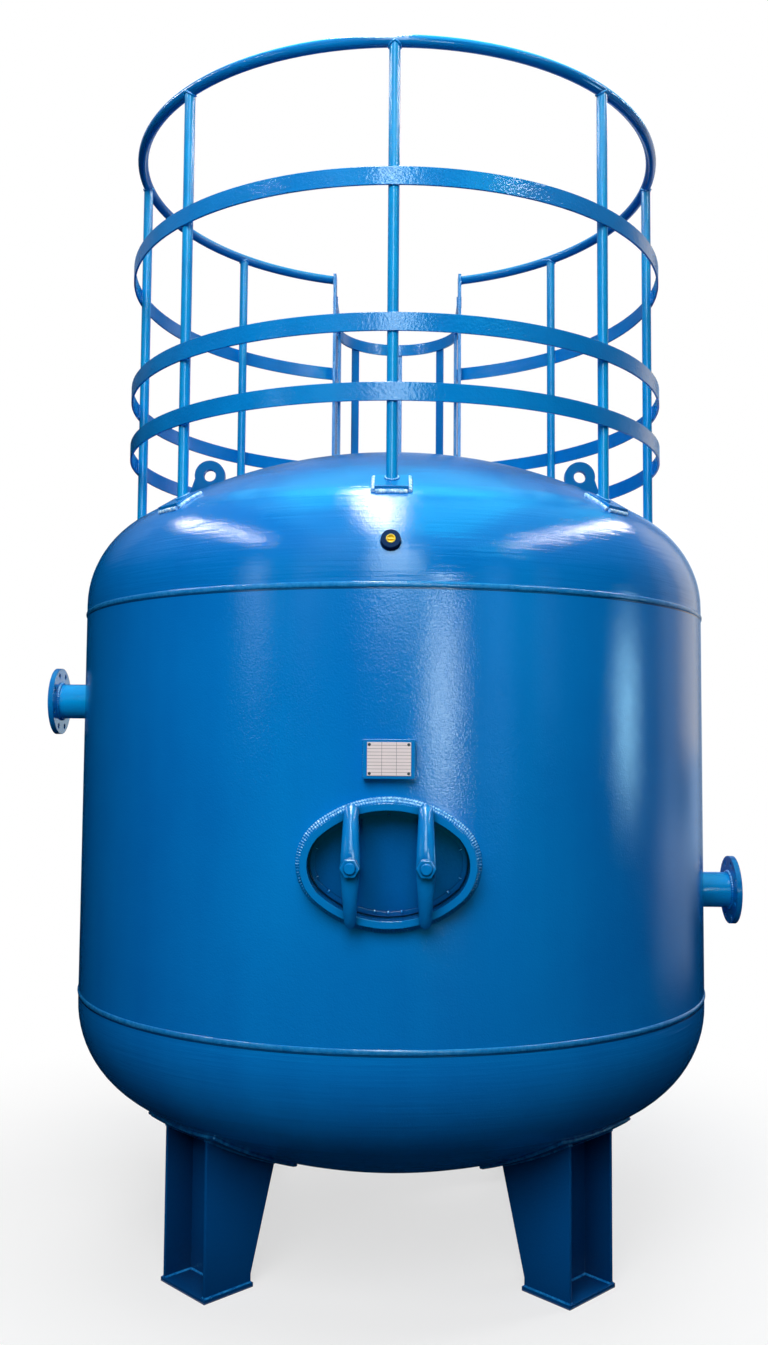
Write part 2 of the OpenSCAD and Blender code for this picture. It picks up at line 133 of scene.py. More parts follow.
def enamel_group():
    """Colour, roughness and height of sprayed enamel: cloudy film, faint runs, orange peel."""
    tree = bpy.data.node_groups.new("sprayed_enamel", "ShaderNodeTree")
    for socket in ("Film", "Thick Film"):
        tree.interface.new_socket(socket, in_out="INPUT", socket_type="NodeSocketColor")
    for socket in ("Cloud Size", "Peel Size", "Gloss", "Run Mix"):
        tree.interface.new_socket(socket, in_out="INPUT", socket_type="NodeSocketFloat")
    tree.interface.new_socket("Color", in_out="OUTPUT", socket_type="NodeSocketColor")
    for socket in ("Roughness", "Height"):
        tree.interface.new_socket(socket, in_out="OUTPUT", socket_type="NodeSocketFloat")
    given = tree.nodes.new("NodeGroupInput").outputs
    out = tree.nodes.new("NodeGroupOutput").inputs
    where = object_place(tree)

    clouds = noise(tree, where, given["Cloud Size"], 5.0)
    runs = noise(tree, mapped(tree, where, Scale=(7.0, 7.0, 0.7)), 1.0, 4.0)
    blend = tree.nodes.new("ShaderNodeMix")
    for socket, value in (("Factor", given["Run Mix"]), (2, clouds), (3, runs)):
        link(tree, value, blend.inputs[socket])
    film = ranged(tree, blend.outputs[0], 0.32, 0.68)
    link(tree, mixed(tree, film, given["Film"], given["Thick Film"]), out["Color"])
    link(tree, calc(tree, "MULTIPLY_ADD", film, 0.06, given["Gloss"]), out["Roughness"])

    peel = noise(tree, where, given["Peel Size"], 2.0)
    sag = noise(tree, where, 22.0, 2.0)
    link(tree, calc(tree, "MULTIPLY_ADD", sag, 0.7, peel), out["Height"])
    return tree


sprayed_enamel = enamel_group()


def enamel(name, film, thick_film, cloud_size=1.9, peel_size=130.0, gloss=0.07, run_mix=0.35,
           peel_lift=0.0010, edge=0.004):
    """One enamelled steel finish, with rounded paint edges and orange peel."""
    finish = bpy.data.materials.new(name)
    finish.use_nodes = True
    tree = finish.node_tree
    shader = tree.nodes["Principled BSDF"]
    coat = tree.nodes.new("ShaderNodeGroup")
    coat.name = "coat"
    coat.node_tree = sprayed_enamel
    for socket, value in (("Film", film), ("Thick Film", thick_film), ("Cloud Size", cloud_size),
                          ("Peel Size", peel_size), ("Gloss", gloss), ("Run Mix", run_mix)):
        feed(tree, coat.inputs[socket], value)
    rounded = tree.nodes.new("ShaderNodeBevel")
    rounded.samples = 4
    rounded.inputs["Radius"].default_value = edge
    peel = bumped(tree, coat.outputs["Height"], 0.5, peel_lift, rounded.outputs["Normal"])
    peel.node.name = "peel"
    link(tree, coat.outputs["Color"], shader.inputs["Base Color"])
    link(tree, coat.outputs["Roughness"], shader.inputs["Roughness"])
    link(tree, peel, shader.inputs["Normal"])
    return finish


def recoat(finish, colour):
    """Gives a finish another colour than that of its plain coat."""
    link(finish.node_tree, colour, finish.node_tree.nodes["Principled BSDF"].inputs["Base Color"])


def shade_recesses(finish, deep, reach):
    """Darkens the film of a finish towards a dark tone in corners and recesses, by ambient occlusion: painted shade."""
    tree = finish.node_tree
    open_air = tree.nodes.new("ShaderNodeAmbientOcclusion")
    open_air.samples = 6
    open_air.inputs["Distance"].default_value = reach
    recoat(finish, mixed(tree, open_air.outputs["AO"], deep, tree.nodes["coat"].outputs["Color"]))


def dress(finish, *names):
    """Gives CAD nodes one finish."""
    for name in names:
        mesh = nodes[name].data
        mesh.materials.clear()
        mesh.materials.append(finish)


def settle(name, mesh, finish):
    """Makes a piece of a mesh that is already in place, and fixes it to the tank."""
    mesh.materials.clear()
    mesh.materials.append(finish)
    mesh.shade_smooth()
    piece = bpy.data.objects.new(name, mesh)
    bpy.context.scene.collection.objects.link(piece)
    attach(piece, "root")
    return piece


def evenly(knots, step, closed):
    """Points at even steps along a run of knots."""
    knots = [Vector(knot) for knot in knots]
    if closed:
        knots.append(knots[0])
    reach = [0.0]
    for start, end in zip(knots, knots[1:]):
        reach.append(reach[-1] + (end - start).length)
    count = max(3, round(reach[-1] / step))
    points, leg = [], 0
    for i in range(count if closed else count + 1):
        at = reach[-1] * i / count
        while leg < len(knots) - 2 and reach[leg + 1] < at:
            leg += 1
        share = (at - reach[leg]) / max(1e-9, reach[leg + 1] - reach[leg])
        points.append(knots[leg].lerp(knots[leg + 1], share))
    return points


def weld(name, finish, size, runs, step=0.0025):
    """Hand-laid beads along runs of knots, rippled every fourth step: each run is (knots, closed)."""
    strands = bpy.data.curves.new(name, "CURVE")
    strands.dimensions = "3D"
    strands.bevel_depth = size
    strands.bevel_resolution = 2
    strands.use_fill_caps = True
    hand = random.Random(name)
    for knots, closed in runs:
        points = evenly(knots, step, closed)
        strand = strands.splines.new("POLY")
        strand.points.add(len(points) - 1)
        strand.use_cyclic_u = closed
        for i, (knot, point) in enumerate(zip(strand.points, points)):
            knot.co = (*point, 1.0)
            knot.radius = (1.08, 1.0, 0.86, 0.96)[i % 4] + hand.uniform(-0.08, 0.08)
    former = bpy.data.objects.new(name + "_former", strands)
    mesh = bpy.data.meshes.new_from_object(former)
    bpy.data.objects.remove(former)
    return settle(name, mesh, finish)


shell_low, shell_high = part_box("shell")
axis = Vector(((shell_low.x + shell_high.x) / 2, (shell_low.y + shell_high.y) / 2, 0.0))
shell_r = (shell_high.x - shell_low.x) / 2
lower_seam, upper_seam = shell_low.z, shell_high.z
crown_r, knuckle_r, knuckle_mid, head_flange = 1.6 * shell_r, 0.308 * shell_r, 0.692 * shell_r, 0.032
up = Vector((0.0, 0.0, 1.0))


def head_rise(reach, grow=0.0):
    """Height of a dished end above its girth weld, at a distance from the axis and grown by a thickness."""
    drop = math.sqrt((crown_r - knuckle_r) ** 2 - knuckle_mid ** 2)
    if reach <= (crown_r + grow) * knuckle_mid / (crown_r - knuckle_r):
        return head_flange - drop + math.sqrt((crown_r + grow) ** 2 - reach ** 2)
    return head_flange + math.sqrt(max(0.0, (knuckle_r + grow) ** 2 - (reach - knuckle_mid) ** 2))


bead_film = dict(cloud_size=110.0, peel_size=260.0, gloss=0.04, run_mix=0.0, peel_lift=0.0008, edge=0.0006)
# Beads show a pale cyan film on their upper side and plain blue below: a painted highlight of the overhead lamps.
bead_enamel = enamel("bead_enamel", (0.40, 0.82, 1.00), (0.0015, 0.205, 0.610), **bead_film)
tree = bead_enamel.node_tree
facing = split(tree, tree.nodes.new("ShaderNodeNewGeometry").outputs["Normal"])
painted_top_highlight = ranged(tree, facing["Z"], 0.15, 0.70)
recoat(bead_enamel, mixed(tree, painted_top_highlight, (0.0015, 0.200, 0.600), tree.nodes["coat"].outputs["Color"]))
# The legs' film is darker than the tank's, and darker still in their recesses: painted shade under the overhang of the
# tank.
shaded_leg_enamel = enamel("shaded_leg_enamel", (0.0012, 0.118, 0.420), (0.001, 0.102, 0.370))
shade_recesses(shaded_leg_enamel, (0.0005, 0.010, 0.048), 0.30)
# The beads on the legs and pads are lighter than the legs: a painted highlight along the welds.
leg_bead_highlight_enamel = enamel("leg_bead_highlight_enamel", (0.020, 0.300, 0.720), (0.001, 0.118, 0.420), cloud_size=60.0,
                         gloss=0.05, run_mix=0.0, edge=0.0006)
dress(shaded_leg_enamel, "front_left_leg", "front_right_leg", "rear_left_leg", "rear_right_leg",
      "leg_pads", "foot_plates")

foot_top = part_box("foot_plates")[1].z
cheek_foot, cheek_top, cheek_out, cheek_v = 0.646, 0.570, 0.804, 0.100
web_u, web_v = 0.7155, 0.090
pad_in, pad_out, pad_v, pad_plate = 0.534, 0.822, 0.157, 0.010
leg_runs, pad_runs = [], []
for turn in (-45, 45, -135, 135):
    angle = math.radians(turn)
    out = Vector((math.sin(angle), -math.cos(angle), 0.0))
    across = Vector((math.cos(angle), math.sin(angle), 0.0))

    def on_floor(u, v):
        return axis + out * u + across * v + up * foot_top

    def on_pad(u, v, grow):
        return axis + out * u + across * v + up * (lower_seam - head_rise(math.hypot(u, v), grow))

    steps = [i / 16 for i in range(17)]
    for side in (-1, 1):
        leg_runs.append(([on_floor(cheek_foot, cheek_v * side), on_floor(cheek_out, cheek_v * side)], False))
        leg_runs.append(([on_pad(cheek_top + (cheek_out - cheek_top) * t, cheek_v * side, pad_plate)
                          for t in steps], False))
    recess = [(cheek_out, web_v), (web_u, web_v), (web_u, -web_v), (cheek_out, -web_v)]
    leg_runs.append(([on_floor(u, v) for u, v in recess], False))
    leg_runs.append(([on_pad(u, v, pad_plate) for u, v in recess], False))
    long, wide = pad_out - pad_in, 2 * pad_v
    rim = [(pad_in + long * t, pad_v) for t in steps] + [(pad_out, pad_v - wide * t) for t in steps]
    rim += [(pad_out - long * t, -pad_v) for t in steps] + [(pad_in, -pad_v + wide * t) for t in steps]
    pad_runs.append(([on_pad(u, v, 0.003) for u, v in rim], True))
weld("leg_welds", leg_bead_highlight_enamel, 0.0042, leg_runs)
weld("pad_welds", leg_bead_highlight_enamel, 0.0055, pad_runs)

# Bottom head, shell and top head
# Torispherical dished ends and a rolled shell of 10 mm steel plate, butt welded with a wide rippled
# cap, then sprayed with thick gloss enamel that shows orange peel in the lights.


def under_weld_shadow_group():
    """Mask of a thin band just below each girth weld, where the shadow of the bead is painted."""
    tree = bpy.data.node_groups.new("under_weld_shadow", "ShaderNodeTree")
    tree.interface.new_socket("Shadow", in_out="OUTPUT", socket_type="NodeSocketFloat")
    level = split(tree, object_place(tree))["Z"]
    shadow_drop, shadow_half = 0.0095, 0.0025
    shadow_bands = [calc(tree, "COMPARE", level, seam - shadow_drop, shadow_half) for seam in (lower_seam, upper_seam)]
    link(tree, calc(tree, "MAXIMUM", *shadow_bands), tree.nodes.new("NodeGroupOutput").inputs["Shadow"])
    return tree


under_weld_shadow = under_weld_shadow_group()


def paint_weld_shadow(finish):
    """Darkens a finish in a thin band just below each girth weld: a painted shadow under the bead."""
    tree = finish.node_tree
    shadow_node = tree.nodes.new("ShaderNodeGroup")
    shadow_node.node_tree = under_weld_shadow
    recoat(finish, mixed(tree, shadow_node.outputs["Shadow"], tree.nodes["coat"].outputs["Color"], (0.0008, 0.045, 0.170)))


vessel_enamel = enamel("vessel_enamel", (0.0015, 0.198, 0.620), (0.001, 0.153, 0.535), peel_size=220.0)
paint_weld_shadow(vessel_enamel)
dress(vessel_enamel, "shell")

head_enamel = enamel("head_enamel", (0.0015, 0.198, 0.620), (0.001, 0.155, 0.535), peel_size=240.0, peel_lift=0.0007)
tree = head_enamel.node_tree
parts = split(tree, object_place(tree))
ahead = calc(tree, "SUBTRACT", axis.y, parts["Y"])
around = calc(tree, "ARCTAN2", parts["X"], ahead)
reach = calc(tree, "SQRT", calc(tree, "MULTIPLY_ADD", parts["X"], parts["X"], calc(tree, "MULTIPLY", ahead, ahead)))
ring_place = tree.nodes.new("ShaderNodeCombineXYZ")
for socket, value in (("X", reach), ("Y", parts["Z"]), ("Z", around)):
    link(tree, value, ring_place.inputs[socket])
rings = noise(tree, mapped(tree, ring_place.outputs["Vector"], Scale=(110.0, 110.0, 4.0)), 1.0, 3.0)
spun = bumped(tree, rings, 0.6, 0.0015, tree.nodes["peel"].outputs["Normal"])
link(tree, spun, tree.nodes["Principled BSDF"].inputs["Normal"])
paint_weld_shadow(head_enamel)
dress(head_enamel, "top_head", "bottom_head")

# The weld caps have a lighter film than the shell: a painted highlight along the girth welds.
seam_highlight_enamel = enamel("seam_highlight_enamel", (0.020, 0.235, 0.580), (0.0015, 0.165, 0.490),
                     **(bead_film | {"cloud_size": 70.0}))


def shaped(name, work, finish):
    """Makes a piece of a finished shape, with its faces turned outwards."""
    bmesh.ops.recalc_face_normals(work, faces=work.faces[:])
    mesh = bpy.data.meshes.new(name)
    work.to_mesh(mesh)
    work.free()
    return settle(name, mesh, finish)


def profile_line(work, points):
    """Line of edges through points, ready to be spun."""
    line = [work.verts.new(point) for point in points]
    return line, [work.edges.new(pair) for pair in zip(line, line[1:])]


def girth_weld(name, seam):
    """Cap of a girth weld: a low arc carried round the shell, with the ripples of the run."""
    work = bmesh.new()
    half = [(-0.002, 0.0075), (0.0, 0.0075), (0.0018, 0.0054), (0.0027, 0.0027)]
    profile = [(proud, -rise) for proud, rise in half] + [(0.003, 0.0)] + half[::-1]
    line, edges = profile_line(work, [(axis.x, axis.y - shell_r - proud, seam + rise) for proud, rise in profile])
    edges.append(work.edges.new((line[-1], line[0])))
    about = dict(cent=axis, axis=(0, 0, 1))
    bmesh.ops.spin(work, geom=line + edges, angle=math.radians(6), steps=50, **about)
    sector = work.verts[:] + work.edges[:] + work.faces[:]
    bmesh.ops.spin(work, geom=sector, angle=math.radians(354), steps=59, use_duplicate=True, **about)
    bmesh.ops.remove_doubles(work, verts=work.verts[:], dist=0.00002)
    for vert in work.verts:
        flat = Vector((vert.co.x - axis.x, vert.co.y - axis.y, 0.0))
        proud = max(0.0, flat.length - shell_r)
        if proud > 0.001:
            angle = math.atan2(flat.y, flat.x)
            ripple = math.sin(750 * angle - 500 * abs(vert.co.z - seam))
            ripple += 0.8 * math.sin(41 * angle) * math.sin(67 * angle)
            vert.co -= flat.normalized() * proud * 0.15 * (1.0 - 0.55 * ripple)
    return shaped(name, work, seam_highlight_enamel)


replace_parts(girth_weld("lower_weld_cap", lower_seam), "lower_girth_weld")
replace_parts(girth_weld("upper_weld_cap", upper_seam), "upper_girth_weld")

# Manway
# Oval neck of bent plate with a heavy two-pass fillet, a cover pressed from inside against a rubber
# joint, and two cast yokes, each drawn up by a stud and a hexagon nut that were painted over.

# Neck, yokes and cover are darkened in their corners and recesses by ambient occlusion: painted shade.
manway_enamel = enamel("manway_enamel", (0.0015, 0.205, 0.610), (0.001, 0.170, 0.540), run_mix=0.1, edge=0.003)
shade_recesses(manway_enamel, (0.0005, 0.018, 0.080), 0.20)
yoke_enamel = enamel("yoke_enamel", (0.0015, 0.205, 0.600), (0.001, 0.170, 0.530), run_mix=0.1)
shade_recesses(yoke_enamel, (0.0005, 0.015, 0.070), 0.13)
# The cover and its ring have a darker film than the neck: painted shade inside the neck.
shaded_cover_enamel = enamel("shaded_cover_enamel", (0.0012, 0.158, 0.570), (0.001, 0.128, 0.500), run_mix=0.1, edge=0.003)
shade_recesses(shaded_cover_enamel, (0.0005, 0.014, 0.080), 0.20)
dress(manway_enamel, "manway_neck")
dress(shaded_cover_enamel, "manway_cover", "cover_ring")

neck_low, neck_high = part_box("manway_neck")
neck_mid = (neck_low + neck_high) / 2
half_w, half_h = 0.220, 0.154
end_r = 0.75 * half_h
end_x = half_w - end_r
side_r = (end_x ** 2 + half_h ** 2 - end_r ** 2) / (2 * (half_h - end_r))
side_z = side_r - half_h


def oval_point(turn, grow):
    """Point of the neck's oval, grown or shrunk, by the way its edge faces there."""
    face = Vector((math.cos(turn), 0.0, math.sin(turn)))
    if abs(face.z) < math.sin(math.atan2(side_z, end_x)):
        middle, reach = Vector((math.copysign(end_x, face.x), 0.0, 0.0)), end_r
    else:
        middle, reach = Vector((0.0, 0.0, -math.copysign(side_z, face.z))), side_r
    return axis + up * neck_mid.z + middle + face * (reach + grow)


def neck_point(turn, grow, stand):
    """Point beside the neck where it leaves the shell."""
    point = oval_point(turn, grow)
    point.y = axis.y - math.sqrt((shell_r + stand) ** 2 - (point.x - axis.x) ** 2)
    return point


oval = [2 * math.pi * i / 720 for i in range(720)]
weld("neck_root_pass", bead_enamel, 0.0075, [([neck_point(t, 0.0075, 0.0010) for t in oval], True)], step=0.0018)
weld("neck_cap_pass", bead_enamel, 0.0068, [([neck_point(t, 0.0012, 0.0100) for t in oval], True)], step=0.0017)

ring_face = Vector((0.0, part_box("cover_ring")[0].y - axis.y, 0.0))
ring_inset, tack_half = -0.031, 0.5
tack_runs = [([oval_point(math.radians(turn + way * tack_half), ring_inset) + ring_face for way in (-1, 1)], False)
             for turn in (25, 90, 155, 205, 232, 262, 270, 278, 308, 335)]
weld("cover_tacks", bead_enamel, 0.0042, tack_runs, step=0.0012)



def edges_of(verts):
    """Edges that meet at some points, each once and in the same order every time."""
    return list(dict.fromkeys(edge for vert in verts for edge in vert.link_edges))


yoke_x, yoke_half, yoke_round = 0.092, 0.152, 0.014
arch_r, under_r, arch_front, arch_back = 0.26216, 0.20973, 0.066, 0.040
half_rows = (0.025, 0.05, 0.075, 0.10, 0.12, 0.135, 0.143, 0.148, 0.151, 0.152)
quarter_turn = Matrix.Rotation(math.pi / 2, 3, "X")
work = bmesh.new()
for side in (-1, 1):
    rows = []
    for rise in [-rise for rise in half_rows[::-1]] + [0.0] + list(half_rows):
        under = max(0.0005, math.sqrt(under_r ** 2 - rise ** 2) - under_r + arch_back)
        front = math.sqrt(arch_r ** 2 - rise ** 2) - arch_r + arch_front
        past = max(0.0, abs(rise) - yoke_half + yoke_round) / yoke_round
        close = math.sqrt(max(0.12, 1.0 - past ** 2))
        wide = close * (0.025 - abs(rise) / yoke_half * (0.0075 if rise > 0 else 0.0115))
        row = bmesh.ops.create_circle(work, segments=32, radius=1.0)["verts"]
        bmesh.ops.scale(work, verts=row, vec=(wide, close * (front - under) / 2, 1.0))
        middle = (axis.x + yoke_x * side, neck_low.y - (front + under) / 2, neck_mid.z + rise)
        bmesh.ops.translate(work, verts=row, vec=middle)
        rows.append(edges_of(row))
    for below, beyond in zip(rows, rows[1:]):
        bmesh.ops.bridge_loops(work, edges=below + beyond)
    for row in (rows[0], rows[-1]):
        bmesh.ops.edgeloop_fill(work, edges=row)
    seat = bmesh.ops.create_cone(work, cap_ends=True, segments=40, radius1=0.0246, radius2=0.0226, depth=0.016)["verts"]
    bmesh.ops.rotate(work, verts=seat, cent=(0, 0, 0), matrix=quarter_turn)
    bmesh.ops.translate(work, verts=seat, vec=(axis.x + yoke_x * side, neck_low.y - 0.056, neck_mid.z))
    front = min(vert.co.y for vert in seat)
    rims = [edge for edge in edges_of(seat) if all(vert.co.y < front + 1e-5 for vert in edge.verts)]
    bmesh.ops.bevel(work, geom=rims, affect="EDGES", offset=0.0025, segments=3, profile=0.5, material=-1)
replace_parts(shaped("cast_yokes", work, yoke_enamel), "manway_yokes")

stud_low, stud_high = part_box("manway_studs")
stud_r = (stud_high.z - stud_low.z) / 2
pitch, turns, thread_deep, tip_h = 0.0035, 55, 0.0016, 0.0034
work = bmesh.new()
for side in (-1, 1):
    bolt = Vector((axis.x + yoke_x * side, 0.0, neck_mid.z))
    teeth = [(stud_r - (thread_deep if i % 2 else 0.0001), stud_high.y - i * pitch / 2) for i in range(2 * turns)]
    line, edges = profile_line(work, [(bolt.x + reach, y, bolt.z) for reach, y in teeth])
    bmesh.ops.spin(work, geom=line + edges, cent=bolt, axis=(0, 1, 0), angle=2 * math.pi, steps=28, use_merge=True)
    tip = bmesh.ops.create_cone(work, cap_ends=True, segments=28, radius1=stud_r - 0.0002, radius2=stud_r - 0.0026,
                                depth=tip_h)["verts"]
    bmesh.ops.rotate(work, verts=tip, cent=(0, 0, 0), matrix=quarter_turn)
    bmesh.ops.translate(work, verts=tip, vec=(bolt.x, stud_low.y + tip_h / 2, bolt.z))
bmesh.ops.remove_doubles(work, verts=work.verts[:], dist=1e-6)
studs = shaped("threaded_studs", work, manway_enamel)
studs.data.shade_flat()
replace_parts(studs, "manway_studs")

nut_low, nut_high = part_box("manway_nuts")
nut_h = nut_high.y - nut_low.y
nut_r = (nut_high.x - nut_low.x) / 2 - yoke_x
washer_h = 0.003
work = bmesh.new()
for side in (-1, 1):
    for depth, reach, count, y, chamfer in (
            (nut_h - washer_h, nut_r, 6, nut_low.y + (nut_h - washer_h) / 2, 0.0017),
            (washer_h, nut_r * 0.99, 40, nut_high.y - washer_h / 2, 0.0008)):
        made = bmesh.ops.create_cone(work, cap_ends=True, segments=count, radius1=reach, radius2=reach,
                                     depth=depth)["verts"]
        bmesh.ops.rotate(work, verts=made, cent=(0, 0, 0), matrix=Matrix.Rotation(math.radians(90), 3, "Z"))
        bmesh.ops.rotate(work, verts=made, cent=(0, 0, 0), matrix=quarter_turn)
        bmesh.ops.translate(work, verts=made, vec=(axis.x + yoke_x * side, y, neck_mid.z))
        rims = [edge for edge in edges_of(made) if abs(edge.verts[0].co.y - edge.verts[1].co.y) < 1e-6]
        bmesh.ops.bevel(work, geom=rims, affect="EDGES", offset=chamfer, segments=2, profile=0.5, material=-1)
nuts = shaped("hexagon_nuts", work, manway_enamel)
nuts.data.shade_flat()
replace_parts(nuts, "manway_nuts")


def plain_finish(name, tone, mark, rough, size, metal=0.0, bump_lift=0.0002):
    """A finish of one stuff, mottled by noise: rubber, plastic or bare metal."""
    finish = bpy.data.materials.new(name)
    finish.use_nodes = True
    tree = finish.node_tree
    shader = tree.nodes["Principled BSDF"]
    shader.inputs["Metallic"].default_value = metal
    mottle = noise(tree, object_place(tree), size, 6.0)
    mottle.node.name = "mottle"
    tint = mixed(tree, mottle, tone, mark)
    tint.node.name = "tint"
    link(tree, tint, shader.inputs["Base Color"])
    link(tree, ranged(tree, mottle, 0.0, 1.0, rough - 0.08, rough + 0.08), shader.inputs["Roughness"])
    link(tree, bumped(tree, mottle, 0.4, bump_lift), shader.inputs["Normal"])
    return finish


dress(plain_finish("joint_rubber", (0.012, 0.012, 0.013), (0.030, 0.030, 0.031), 0.62, 240.0), "manway_gasket")

# Nozzles
# Seamless pipe stubs set through the shell and welded round, each with a slip-on flange welded at its
# back. The raised face of the flange is left bare, with the dull sheen of turned steel.

# The pipes have a lighter film than the tank: painted light on the pipe stubs.
lit_pipe_enamel = enamel("lit_pipe_enamel", (0.001, 0.340, 0.800), (0.001, 0.290, 0.710))
dress(lit_pipe_enamel, "inlet_pipe", "outlet_pipe")
# The flanges' painted film is darker than the tank's: painted shade.
shaded_flange_enamel = enamel("shaded_flange_enamel", (0.0012, 0.185, 0.540), (0.001, 0.155, 0.470))
tree = shaded_flange_enamel.node_tree
shader, coat = tree.nodes["Principled BSDF"], tree.nodes["coat"]
raised_face = 1.1293
bare = calc(tree, "GREATER_THAN", calc(tree, "ABSOLUTE", split(tree, object_place(tree))["X"]), raised_face)
recoat(shaded_flange_enamel, mixed(tree, bare, coat.outputs["Color"], (0.42, 0.41, 0.40)))
link(tree, bare, shader.inputs["Metallic"])
link(tree, calc(tree, "MULTIPLY_ADD", bare, 0.26, coat.outputs["Roughness"]), shader.inputs["Roughness"])
dress(shaded_flange_enamel, "inlet_flange", "outlet_flange")

pipe_r, flange_back = 0.0575, 0.020
ring = [2 * math.pi * i / 180 for i in range(180)]
pipe_runs = []
for name, side in (("inlet_flange", -1), ("outlet_flange", 1)):
    low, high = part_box(name)
    level = (low.z + high.z) / 2
    back = max(abs(low.x), abs(high.x)) - flange_back

    def round_pipe(x, grow, t):
        return side * x, axis.y + (pipe_r + grow) * math.cos(t), level + (pipe_r + grow) * math.sin(t)

    pipe_runs.append(([round_pipe(math.sqrt(shell_r ** 2 - (pipe_r * math.cos(t)) ** 2) + 0.002, 0.002, t)
                       for t in ring], True))
    pipe_runs.append(([round_pipe(back - 0.0015, 0.0015, t) for t in ring], True))
weld("pipe_welds", bead_enamel, 0.0052, pipe_runs, step=0.0018)

# Vent
# A half socket welded on the knuckle, closed for transport by a yellow plastic plug with a grip across
# its face.

# The socket and its weld have a near black film: painted shade round the plug.
shaded_vent_enamel = enamel("shaded_vent_enamel", (0.0007, 0.022, 0.085), (0.0007, 0.016, 0.065), gloss=0.50, run_mix=0.0,
                     edge=0.002)
shaded_vent_enamel.node_tree.nodes["Principled BSDF"].inputs["Specular IOR Level"].default_value = 0.05
dress(shaded_vent_enamel, "vent_socket")
tilt = math.radians(15)
vent_out = Vector((0.0, -math.cos(tilt), math.sin(tilt)))
vent_up = Vector((0.0, math.sin(tilt), math.cos(tilt)))
vent_right = Vector((1.0, 0.0, 0.0))
vent_at = axis + Vector((0.0, -knuckle_mid, upper_seam + head_flange)) + vent_out * knuckle_r
socket_foot = 0.0258
vent_run = [vent_at + vent_out * (-0.0006 - 0.0011 * math.cos(t) ** 2)
            + (vent_right * math.cos(t) + vent_up * math.sin(t)) * socket_foot for t in ring]
weld("vent_weld", shaded_vent_enamel, 0.0020, [(vent_run, True)], step=0.0015)

plug_plastic = plain_finish("plug_plastic", (0.95, 0.68, 0.015), (0.86, 0.58, 0.010), 0.36, 160.0)
profile = [(0.0, 0.0100), (0.0088, 0.0100), (0.0092, 0.0160), (0.0098, 0.0172), (0.0110, 0.0176), (0.0119, 0.0172),
           (0.0123, 0.0160), (0.0124, 0.0030), (0.0110, 0.0022), (0.0, 0.0022)]
work = bmesh.new()
line, edges = profile_line(work, [(reach, 0.0, rise) for reach, rise in profile])
bmesh.ops.spin(work, geom=line + edges, cent=(0, 0, 0), axis=(0, 0, 1), angle=2 * math.pi, steps=40, use_merge=True)
grip = bmesh.ops.create_cube(work, size=1.0)["verts"]
bmesh.ops.scale(work, verts=grip, vec=(0.0172, 0.0034, 0.0062))
bmesh.ops.translate(work, verts=grip, vec=(0, 0, 0.0131))
bmesh.ops.bevel(work, geom=edges_of(grip), affect="EDGES", offset=0.0009, segments=2, profile=0.5, material=-1)
bmesh.ops.remove_doubles(work, verts=work.verts[:], dist=1e-6)
stand = Matrix.Translation(vent_at) @ Matrix.Rotation(math.radians(90) - tilt, 4, "X")
bmesh.ops.transform(work, matrix=stand, verts=work.verts[:])
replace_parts(shaped("vent_cap", work, plug_plastic), "vent_plug")

# Nameplate
# A thin etched plate with ruled empty rows, fixed by four dark blind rivets to a folded bracket that
# is welded to the shell along both of its legs.

bracket_enamel = enamel("bracket_enamel", (0.0015, 0.205, 0.610), (0.001, 0.170, 0.540), run_mix=0.0, edge=0.002)
dress(bracket_enamel, "nameplate_bracket")
low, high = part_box("nameplate")
plate_metal = plain_finish("plate_metal", (0.86, 0.73, 0.73), (0.76, 0.66, 0.66), 0.34, 30.0, bump_lift=0.00005)
tree = plate_metal.node_tree
tree.nodes["mottle"].inputs["Roughness"].default_value = 0.7
tint = tree.nodes["tint"].outputs[2]
lay = mapped(tree, object_place(tree), Location=(-low.x, low.z + 0.004, 0.0), Rotation=(math.radians(-90), 0.0, 0.0))
rows = tree.nodes.new("ShaderNodeTexBrick")
rows.offset = 0.0
for socket, value in (("Vector", lay), ("Color1", tint), ("Color2", tint), ("Mortar", (0.20, 0.17, 0.17)),
                      ("Scale", 1.0), ("Brick Width", 0.0367), ("Row Height", 0.0084), ("Mortar Size", 0.0006),
                      ("Mortar Smooth", 0.4)):
    feed(tree, rows.inputs[socket], value)
recoat(plate_metal, rows.outputs["Color"])
dress(plate_metal, "nameplate")

rivet_metal = plain_finish("rivet_metal", (0.03, 0.03, 0.035), (0.06, 0.06, 0.065), 0.4, 300.0, metal=0.6)
rivet_inset, rivet_r, rivet_flat = 0.006, 0.0040, 0.36
work = bmesh.new()
for x in (low.x + rivet_inset, high.x - rivet_inset):
    for z in (low.z + rivet_inset, high.z - rivet_inset):
        head = bmesh.ops.create_uvsphere(work, u_segments=20, v_segments=12, radius=rivet_r)["verts"]
        bmesh.ops.scale(work, verts=head, vec=(1.0, rivet_flat, 1.0))
        bmesh.ops.translate(work, verts=head, vec=(x, low.y + 0.0002, z))
shaped("plate_rivets", work, rivet_metal)

low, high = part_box("nameplate_bracket")
bracket_x = 0.0650
foot_y = axis.y - math.sqrt(shell_r ** 2 - bracket_x ** 2) - 0.001
weld("bracket_welds", bead_enamel, 0.0032,
     [([(axis.x + x, foot_y, low.z + 0.004), (axis.x + x, foot_y, high.z - 0.004)], False)
      for x in (-bracket_x, bracket_x)], step=0.0015)

# Lifting lugs
# Two flame-cut plates of 25 mm steel set upright on the head, with a fillet all round their feet.

